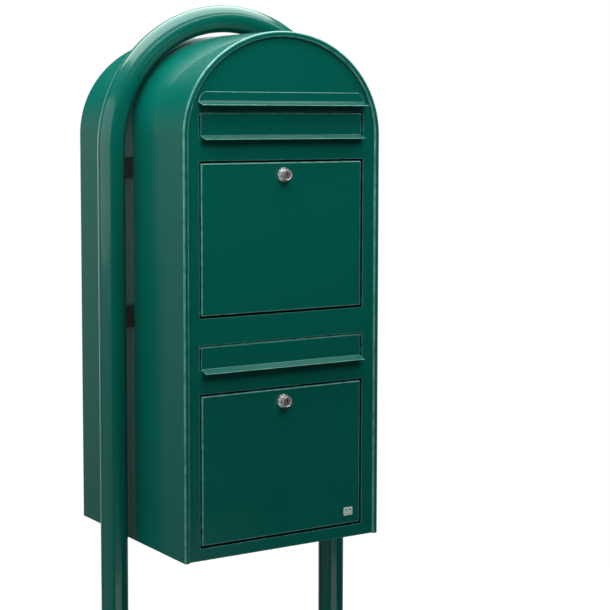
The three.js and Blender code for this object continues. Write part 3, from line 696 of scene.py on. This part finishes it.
def make_panel(name, node, openings):
    """A flat arched sheet in rows and columns, less the cells that lie in openings.

    The outer columns follow the arch. The inner ones stand at the openings' sides, with a guard
    column on either side of each, and draw in with the arch above the highest opening. Rows lie
    at every opening's top and bottom with guard rows either side, and meet at the apex.
    """
    guard = PANEL_GUARD
    y = middle_of(node)[1]
    rise = PANEL_TOP - SPRING
    cuts = np.array([z for pair in openings for z in pair])
    last_cut = max([SPRING, *cuts])
    arch_rows = SPRING + rise * np.sin(np.linspace(0, np.pi / 2, 61))
    taken = np.sort(np.concatenate([cuts - guard, cuts, cuts + guard, [BASE, BASE + guard]]))
    clear = np.array([np.min(np.abs(taken - z)) > guard for z in arch_rows])
    rows = np.sort(np.concatenate([taken, arch_rows[clear]]))
    above = np.clip((rows - SPRING) / rise, 0, 1)
    width = PANEL_HALF * np.sqrt(1 - above**2)
    width_there = PANEL_HALF * math.sqrt(1 - ((last_cut + guard - SPRING) / rise) ** 2)
    draw_in = np.where(rows <= last_cut + 1.1 * guard, 1.0, width / width_there)
    inner = np.array([-SLOT_HALF - guard, -SLOT_HALF, guard - SLOT_HALF])
    inner = np.concatenate([inner, -inner[::-1]])
    outmost = np.abs(inner[0]) * draw_in
    rim = np.maximum(width - guard, outmost + 0.25 * (width - outmost))
    columns = [-width[:, None], -rim[:, None], draw_in[:, None] * inner]
    x = np.concatenate(columns + [rim[:, None], width[:, None]], axis=1)
    z = np.repeat(rows[:, None], x.shape[1], axis=1)
    points = np.stack([x, np.full_like(x, y), z], axis=-1)
    faces = grid_faces(*x.shape)
    middle_x, _, middle_z = points.reshape(-1, 3)[faces].mean(axis=1).T
    cut = np.zeros(len(faces), bool)
    for bottom, top in openings:
        cut |= (np.abs(middle_x) < SLOT_HALF) & (middle_z > bottom) & (middle_z < top)
    mesh = bpy.data.meshes.new(name)
    mesh.from_pydata(points.reshape(-1, 3).tolist(), [], faces[~cut].tolist())
    close_up(mesh)
    # Open rims round the openings and outline take 0.6 of the pale paint: a painted highlight along the
    # cut edges, with wear.
    mark_wear_and_painted_highlight(mesh, 0.6)
    piece = add_piece(name, mesh, "casing", "moss_green_paint", [node])
    add_modifier(piece, "SOLIDIFY", thickness=SHEET, offset=0.0)
    round_edges(piece, 0.7 * MM, 4)


def door_opening(level):
    """The lower and upper edge of a door's opening."""
    door = f"{level}_door"
    return low(door)[2] - DOOR_GAP, high(door)[2] + DOOR_GAP


def make_front_panel():
    """The panel inside the front rim, pierced by two letter slots and two door openings."""
    slots = [(slot_top(level) - SLOT_HEIGHT, slot_top(level)) for level in LEVELS]
    doors = [door_opening(level) for level in LEVELS]
    make_panel("pierced_front_panel", "front_panel", slots + doors)


def make_rain_hood():
    """A bent sheet along X: a face, a fold and a sloping lip.

    Above the corner's centre the width shrinks as corner radius minus the root of (corner radius
    squared minus height squared), which rounds both upper corners.
    """
    node = "rain_hood"
    back = high(node)[1]
    top = high(node)[2]
    half = high(node)[0]
    face = back - SHEET / 2
    lip = (low(node)[1] + SHEET / 2 * 0.3, low(node)[2] + SHEET / 2)
    corner = HOOD_CORNER
    climb = np.linspace(0, 90, 15)
    heights = top - corner + corner * np.sin(np.radians(climb))
    line, normals = bent_line([lip, (face, HOOD_FOLD + SHEET / 2), (face, heights[0])], FOLD)
    upper = np.stack([np.full(len(heights) - 1, face), heights[1:]], axis=1)
    line = np.concatenate([line, upper])
    normals = np.concatenate([normals, np.repeat(normals[-1:], len(upper), axis=0)])

    def share(z):
        above = np.clip(z - (top - corner), 0, corner)
        return 1 - (corner - np.sqrt(corner**2 - above**2)) / half

    bar_along_x("folded_rain_hood", (line, normals), SHEET, "casing", node, share)


# ---------------------------------------------------------------- letter flaps


def make_flap(level):
    """One sheet rolled round its rod, straight down the slot and bent out into a pull lip."""
    node = f"{level}_flap"
    rod = middle_of(f"{level}_flap_rod")
    front = rod[1] - FLAP_CURL + FLAP_SHEET / 2
    roll = rod[1] - front
    curl, outward = arc((rod[1], rod[2]), roll, -70, 180, 26)
    tip = (low(node)[1] + 0.25 * MM, low(node)[2] + FLAP_SHEET / 2 + 0.1 * MM)
    fold = low(node)[2] + FLAP_LIP
    line, normals = bent_line([(front, rod[2] - 0.3 * MM), (front, fold), tip], FOLD)
    line = np.concatenate([curl, line])
    normals = np.concatenate([-outward, normals])
    bar_along_x(f"rolled_{node}", (line, normals), FLAP_SHEET, node, node)


def make_flap_rod(level):
    """A drawn rod with rounded ends, turned about X."""
    node = f"{level}_flap_rod"
    centre = middle_of(node)
    radius = (high(node)[2] - low(node)[2]) / 2
    reach = high(node)[0]
    profile = rounded_profile([(0, -reach), (radius, -reach), (radius, reach), (0, reach)], 0.6 * MM)
    turned(f"{node}_drawn", profile, centre, 0, "casing", "zinc_plated_steel", [node], 24)


def make_chute(level):
    """A bent sheet along X: flange on the panel, slope into the box and a hem."""
    node = f"{level}_chute"
    start = low(node)[1] + SHEET / 2
    end = high(node)[1] - SHEET / 2
    top = high(node)[2]
    knee = top - CHUTE_FLANGE
    corners = [(start, top), (start, knee), (end, knee - CHUTE_SLOPE), (end, low(node)[2])]
    bar_along_x(f"bent_{node}", bent_line(corners, CHUTE_FOLD), SHEET, "casing", node)


# ---------------------------------------------------------------- doors


def rounded_rectangle(half_x, low_z, high_z, radius, per_corner=6, per_side=14):
    """A closed loop of (x, z) points round a rectangle, from the upper end of its right side."""
    loop = []
    corners = [(half_x, high_z, 0), (-half_x, high_z, 90)]
    corners += [(-half_x, low_z, 180), (half_x, low_z, 270)]
    for x, z, start in corners:
        centre = (x - math.copysign(radius, x), z - radius if z == high_z else z + radius)
        loop.append(arc(centre, radius, start, start + 90, per_corner)[0])
    points = []
    for here, after in zip(loop, loop[1:] + loop[:1]):
        share = np.linspace(0, 1, per_side + 2)[1:-1, None]
        points += [here, here[-1] + share * (after[0] - here[-1])]
    return np.concatenate(points)


def ring_at(loop, y):
    """A loop of (x, z) points stood up at a place along Y."""
    return np.stack([loop[:, 0], np.full(len(loop), y), loop[:, 1]], axis=1)


def make_door(level):
    """A pan: rings that grow from the lock hole to the door's outline and then fold back.

    The sheet's outline gives each ring its distance inwards from the door's edge and its depth.
    Rings within a pan run of the hole are circles round the lock. The others are rounded
    rectangles, drawn in from the door's outline by that distance. The outer skin's rings are
    followed by the inner skin's, back to the hole.
    """
    node = f"{level}_door"
    lock = middle_of(f"{level}_lock_body")
    bottom, top = low(node), high(node)
    run = 30 * MM
    line, normals = bent_line([(-run, 0), (0, 0), (0, top[1] - bottom[1])], FOLD)
    line[:, 0] -= SHEET / 2
    line[:, 1] += SHEET / 2
    line[-2:, 1] -= SHEET / 2
    base, reach = sheet_section(line, normals, SHEET)
    rim = rounded_rectangle(top[0], bottom[2], top[2], DOOR_CORNER)
    centre = np.array([lock[0], lock[2]])
    spoke = rim - centre
    spoke /= np.linalg.norm(spoke, axis=1)[:, None]
    rows = []
    for inset, back in base + reach:
        if inset < 5 * MM - run:
            ring = centre + (inset + run + LOCK_HOLE) * spoke
        else:
            corner = max(DOOR_CORNER + inset, 0.3 * MM)
            ring = rounded_rectangle(top[0] + inset, bottom[2] - inset, top[2] + inset, corner)
        rows.append(ring_at(ring, bottom[1] + back))
    points = np.array(rows)
    add_surface(f"folded_{node}", points, node, "moss_green_paint", [node], rows_closed=True)


# ---------------------------------------------------------------- locks


def make_lock_body(level):
    """Collar, nose with a rounded rim and a dished mouth, and the threaded barrel behind."""
    node = f"{level}_lock_body"
    front, back = low(node)[1], high(node)[1]
    centre = middle_of(node)
    collar = high(node)[0]
    nose = LOCK_NOSE
    bore = high(f"{level}_lock_plug")[0] + 0.3 * MM
    seat = PANEL_FRONT - 0.3 * MM
    lip = front + 0.9 * MM
    corners = [(bore, back), (bore, lip + 0.6 * MM), (bore + 0.9 * MM, front), (nose, front)]
    corners += [(nose, seat - 2 * MM), (collar, seat - 2 * MM), (collar, seat)]
    corners += [(nose, seat), (nose, back)]
    profile = rounded_profile(corners, 0.75 * MM, 4)
    turned(f"turned_{node}", profile, centre, 1, f"{level}_door", "lock_chrome", [node], 72, True)


def make_lock_plug(level):
    """A cylinder whose front is pierced by an upright key slot.

    The loops run from the middle of the slot's floor out to its outline, up to the face, across
    to the circle, over the rounded rim and back along the side to the middle of the rear. A loop
    whose points coincide closes an end.
    """
    node = f"{level}_lock_plug"
    front, back = low(node)[1], high(node)[1]
    radius = high(node)[0]
    centre = middle_of(node)[[0, 2]]
    slot = centre + rounded_rectangle(1.1 * MM, -4 * MM, 4 * MM, 0.5 * MM, 4, 14)
    wide = centre + rounded_rectangle(1.35 * MM, -4.25 * MM, 4.25 * MM, 0.7 * MM, 4, 14)
    run = np.linalg.norm(np.roll(wide, -1, axis=0) - wide, axis=1)
    turn = np.radians(70) + 2 * np.pi * (np.cumsum(run) - run) / np.sum(run)
    spoke = np.stack([np.cos(turn), np.sin(turn)], axis=1)
    floor = front + 5 * MM
    point = np.repeat(centre[None], len(slot), axis=0)
    loops = [ring_at(point, floor), ring_at(slot, floor), ring_at(slot, floor - 0.2 * MM)]
    loops += [ring_at(slot, front + 0.5 * MM), ring_at(slot, front + 0.3 * MM), ring_at(wide, front)]
    swing = np.radians(np.linspace(90, 0, 5))
    rim = 0.6 * MM
    loops += [ring_at(centre + (radius - rim - 0.2 * MM) * spoke, front)]
    for a in swing:
        reach = radius - rim + rim * math.cos(a)
        loops += [ring_at(centre + reach * spoke, front + rim - rim * math.sin(a))]
    loops += [ring_at(centre + radius * spoke, front + 2 * rim)]
    loops += [ring_at(centre + radius * spoke, back - 0.5 * MM), ring_at(centre + radius * spoke, back)]
    loops += [ring_at(point, back)]
    add_surface(f"slotted_{node}", np.array(loops), f"{level}_lock", "lock_plug_metal", [node])


# ---------------------------------------------------------------- badge


def make_pictogram_line(name, corners, plate):
    """A raised line along corners in (x, z), standing off a plate's face.

    The line's outline is repeated at the plate, up its sloping flank and on its crest, where it
    shrinks to three quarters of its width, and is drawn together to the centre line at both ends.
    """
    width, height = 0.9 * MM, 0.25 * MM
    base, reach = sheet_section(*bent_line(corners, 0.8 * MM, 5), width, 8)
    share = np.array([0.0, 1.0, 1.0, 0.92, 0.75, 0.0])
    rise = np.array([-0.1, -0.1, 0.5, 0.85, 1.0, 1.0])
    section = base[None] + share[:, None, None] * reach[None]
    y = np.repeat((plate - height * rise)[:, None], len(base), axis=1)
    points = np.stack([section[..., 0], y, section[..., 1]], axis=-1)
    add_surface(name, points, "lower_door", "moss_green_paint")


def make_badge():
    """A small enamelled plate with a domed edge, carrying an envelope drawn in raised lines."""
    node = "door_badge"
    near, far = low(node), high(node)
    half_x, _, half_z = (far - near) / 2
    x, _, z = middle_of(node)
    thickness = far[1] - near[1]
    loops = []
    swing = np.radians(np.linspace(0, 90, 6))
    for a in swing:
        draw = thickness * (1 - math.cos(a))
        loop = rounded_rectangle(half_x - draw, -half_z + draw, half_z - draw, 2 * MM, 6, 4)
        loops.append(ring_at(loop + (x, z), far[1] - thickness * math.sin(a)))
    rim = 1.2 * MM
    flat = rounded_rectangle(half_x - rim, -half_z + rim, half_z - rim, rim, 6, 4)
    point = np.repeat([[x, z]], len(flat), axis=0)
    loops = [ring_at(point, far[1])] + loops
    loops += [ring_at(flat + (x, z), near[1]), ring_at(point, near[1])]
    add_surface("enamel_badge", np.array(loops), "lower_door", "white_print", [node])
    w, h = 6.2 * MM, 4.2 * MM
    seam = 0.3 * MM
    outline = [(x + seam, z - h), (x + w, z - h), (x + w, z + h)]
    outline += [(x - w, z + h), (x - w, z - h), (x - seam, z - h)]
    make_pictogram_line("envelope_outline", outline, near[1])
    flap = [(x - w, z + h), (x, z - 0.6 * MM), (x + w, z + h)]
    make_pictogram_line("envelope_flap", flap, near[1])


# ---------------------------------------------------------------- assembly

make_hoop_tube()
for level in LEVELS:
    make_anchor_rod(level)
make_shell()
make_front_panel()
make_panel("flat_rear_panel", "rear_panel", [])
make_rain_hood()
for level in LEVELS:
    make_flap(level)
    make_flap_rod(level)
    make_chute(level)
    make_door(level)
    make_lock_body(level)
    make_lock_plug(level)
    softened(f"{level}_lock_nut", f"{level}_door", "zinc_plated_steel", 0.4 * MM)
    softened(f"{level}_lock_cam", f"{level}_lock", "zinc_plated_steel", 0.3 * MM)
    softened(f"{level}_cam_screw", f"{level}_lock", "zinc_plated_steel", 0.3 * MM)
    softened(f"{level}_lock_strike", "casing", "moss_green_paint", 0.3 * MM)
    for side in SIDES:
        softened(f"{level}_flap_bracket_{side}", "casing", "moss_green_paint", 0.3 * MM)
        softened(f"{level}_hinge_bracket_{side}", "casing", "moss_green_paint", 0.3 * MM)
        softened(f"{level}_hinge_pin_{side}", "casing", "zinc_plated_steel", 0.3 * MM)
        softened(f"spacer_{side}_{level}", "casing", "black_plastic", 0.8 * MM, 3)
        softened(f"stand_bolt_{side}_{level}", "casing", "zinc_plated_steel", 0.4 * MM)
        softened(f"bolt_washer_{side}_{level}", "casing", "zinc_plated_steel", 0.3 * MM)
        softened(f"post_insert_{side}_{level}", "casing", "zinc_plated_steel", 0.3 * MM)
softened("floor_plate", "casing", "moss_green_paint", 0.45 * MM)
softened("divider_shelf", "casing", "moss_green_paint", 0.45 * MM)
make_badge()

for part in frame["record"]["subparts"]:
    shown = frame["nodes"][part["node"]]
    for holder in shown.material_slots:
        holder.material = FINISHES[part["material_slot"]]


# ---------------------------------------------------------------- floor, light and camera


FLOOR_RADIUS = 3.2
FADE_START = 2.2
FADE_END = 3.15


def make_floor():
    """A flat disc: rings of points round the stand's foot."""
    rings, spokes = 12, 96
    radius = np.linspace(0, FLOOR_RADIUS, rings)[:, None]
    turn = np.linspace(0, 2 * np.pi, spokes, endpoint=False)[None]
    points = np.stack([radius * np.cos(turn), radius * np.sin(turn), 0 * radius * turn], axis=-1)
    faces = grid_faces(rings, spokes, columns_closed=True)
    mesh = bpy.data.meshes.new("floor")
    mesh.from_pydata(points.reshape(-1, 3).tolist(), [], faces.tolist())
    shape = bmesh.new()
    shape.from_mesh(mesh)
    bmesh.ops.remove_doubles(shape, verts=shape.verts, dist=1e-6)
    shape.to_mesh(mesh)
    shape.free()
    floor = bpy.data.objects.new("floor", mesh)
    bpy.context.scene.collection.objects.link(floor)
    mesh.materials.append(make_pale_floor())
    floor.visible_diffuse = False
    floor.visible_glossy = False


def make_pale_floor():
    """Matt white that thins out towards the disc's rim, so that no edge shows."""
    material, tree, shader, place = start_finish("pale_floor")
    shader.inputs["Base Color"].default_value = (0.8, 0.8, 0.8, 1)
    shader.inputs["Emission Color"].default_value = (1, 1, 1, 1)
    shader.inputs["Emission Strength"].default_value = 0.75
    shader.inputs["Roughness"].default_value = 0.9
    shader.inputs["Specular IOR Level"].default_value = 0.0
    length = tree.nodes.new("ShaderNodeVectorMath")
    length.operation = "LENGTH"
    tree.links.new(place, length.inputs[0])
    fade = spread(tree, length.outputs["Value"], FADE_START, FADE_END, 0.0, 1.0)
    clear = tree.nodes.new("ShaderNodeBsdfTransparent")
    mix = tree.nodes.new("ShaderNodeMixShader")
    tree.links.new(fade, mix.inputs["Fac"])
    tree.links.new(shader.outputs["BSDF"], mix.inputs[1])
    tree.links.new(clear.outputs["BSDF"], mix.inputs[2])
    tree.links.new(mix.outputs["Shader"], tree.nodes["Material Output"].inputs["Surface"])
    return material


def add_panel_light(name, place, aim, size, radiance, glossy=True, diffuse=True):
    """A soft box: radiance times pi times its area is its power.

    Without glossy it leaves no reflection, and without diffuse it is only a reflection.
    """
    light = bpy.data.lights.new(name, "AREA")
    light.shape = "RECTANGLE"
    light.size, light.size_y = size
    light.energy = radiance * math.pi * size[0] * size[1]
    lamp = bpy.data.objects.new(name, light)
    bpy.context.scene.collection.objects.link(lamp)
    lamp.location = place
    direction = np.array(aim, float) - np.array(place, float)
    lamp.rotation_mode = "QUATERNION"
    lamp.rotation_quaternion = Vector(direction).to_track_quat("-Z", "Y")
    lamp.visible_camera = False
    lamp.visible_glossy = glossy
    lamp.visible_diffuse = diffuse


def light_studio():
    """A white surround with a dim room's reflections, and soft boxes at the sides and above."""
    world = bpy.data.worlds.new("studio")
    bpy.context.scene.world = world
    world.use_nodes = True
    tree = world.node_tree
    tree.nodes.clear()
    output = tree.nodes.new("ShaderNodeOutputWorld")
    seen = tree.nodes.new("ShaderNodeBackground")
    seen.inputs["Color"].default_value = (1, 1, 1, 1)
    seen.inputs["Strength"].default_value = 1.0
    room = tree.nodes.new("ShaderNodeBackground")
    room.inputs["Color"].default_value = (1, 1, 1, 1)
    tree.links.new(glow_behind(tree), room.inputs["Strength"])
    path = tree.nodes.new("ShaderNodeLightPath")
    mix = tree.nodes.new("ShaderNodeMixShader")
    tree.links.new(path.outputs["Is Camera Ray"], mix.inputs["Fac"])
    tree.links.new(room.outputs["Background"], mix.inputs[1])
    tree.links.new(seen.outputs["Background"], mix.inputs[2])
    tree.links.new(mix.outputs["Shader"], output.inputs["Surface"])
    add_panel_light("left_high", (-2.0, -0.35, 1.95), (0, -0.35, 1.95), (4.0, 1.5), 1.0)
    add_panel_light("left_low", (-2.0, -0.35, 0.6), (0, -0.35, 0.6), (4.0, 1.2), 0.2)
    add_panel_light("overhead", (0.2, 0.35, 3.0), (0.2, 0.35, 0), (2.6, 2.6), 4.2)
    add_panel_light("right_edge", (2.6, -0.2, 1.6), (0, -0.2, 1.6), (1.0, 2.2), 0.4)
    fills = [
        ("front_fill", (-0.1, -1.5, 2.7), (0, -0.2, 1.6), (1.2, 0.8), 6.6),
        ("top_fill", (-0.5, 0.0, 2.9), (-0.1, 0, 1.5), (1.8, 1.8), 2.2),
        ("side_fill", (-2.2, 0.2, 1.4), (0, 0.2, 1.4), (2.4, 2.4), 0.5),
        ("foot_fill", (0.0, -0.5, 0.03), (0.0, -0.4, 1.0), (1.6, 1.2), 0.7),
    ]
    for fill in fills:
        add_panel_light(*fill, glossy=False)
    shines = [
        ("edge_strip", (0.9, -1.6, 2.9), (0.0, -0.2, 1.5), (2.4, 0.14), 7.0),
        ("floor_card", (0.0, -2.3, 0.02), (0.0, -2.3, 2.0), (2.2, 0.9), 1.2),
    ]
    for shine in shines:
        add_panel_light(*shine, diffuse=False)


def glow_behind(tree):
    """How bright the room is in each direction: a soft horizon at the rear, dark elsewhere."""
    way = tree.nodes.new("ShaderNodeTexCoord").outputs["Generated"]
    ahead = tree.nodes.new("ShaderNodeVectorMath")
    ahead.operation = "DOT_PRODUCT"
    ahead.inputs[1].default_value = (0.50, 0.866, 0.0)
    tree.links.new(way, ahead.inputs[0])
    turn = spread(tree, ahead.outputs["Value"], 0.25, 1.0, 0.0, 1.0)
    split = tree.nodes.new("ShaderNodeSeparateXYZ")
    tree.links.new(way, split.inputs["Vector"])
    under = spread(tree, split.outputs["Z"], -0.45, 0.0, 0.15, 1.0)
    over = spread(tree, split.outputs["Z"], 0.02, 0.32, 1.0, 0.0)
    glow = times(tree, times(tree, times(tree, turn, turn), under), over)
    return spread(tree, glow, 0.0, 1.0, 0.012, 1.3)


def place_camera():
    """A long lens left of the front at eye height, tilted a little down."""
    camera = bpy.data.cameras.new("camera")
    camera.sensor_width = 36.0
    camera.lens = 94.388
    camera.shift_x = 0.06124
    camera.shift_y = -0.085
    camera.clip_start = 0.05
    camera.clip_end = 100.0
    holder = bpy.data.objects.new("camera", camera)
    bpy.context.scene.collection.objects.link(holder)
    holder.location = (-1.41158, -2.39851, 1.60626)
    holder.rotation_euler = (math.radians(85.1847), 0, math.radians(-31.9539))
    bpy.context.scene.camera = holder


make_floor()
light_studio()
place_camera()
bpy.context.scene.view_settings.view_transform = "Standard"
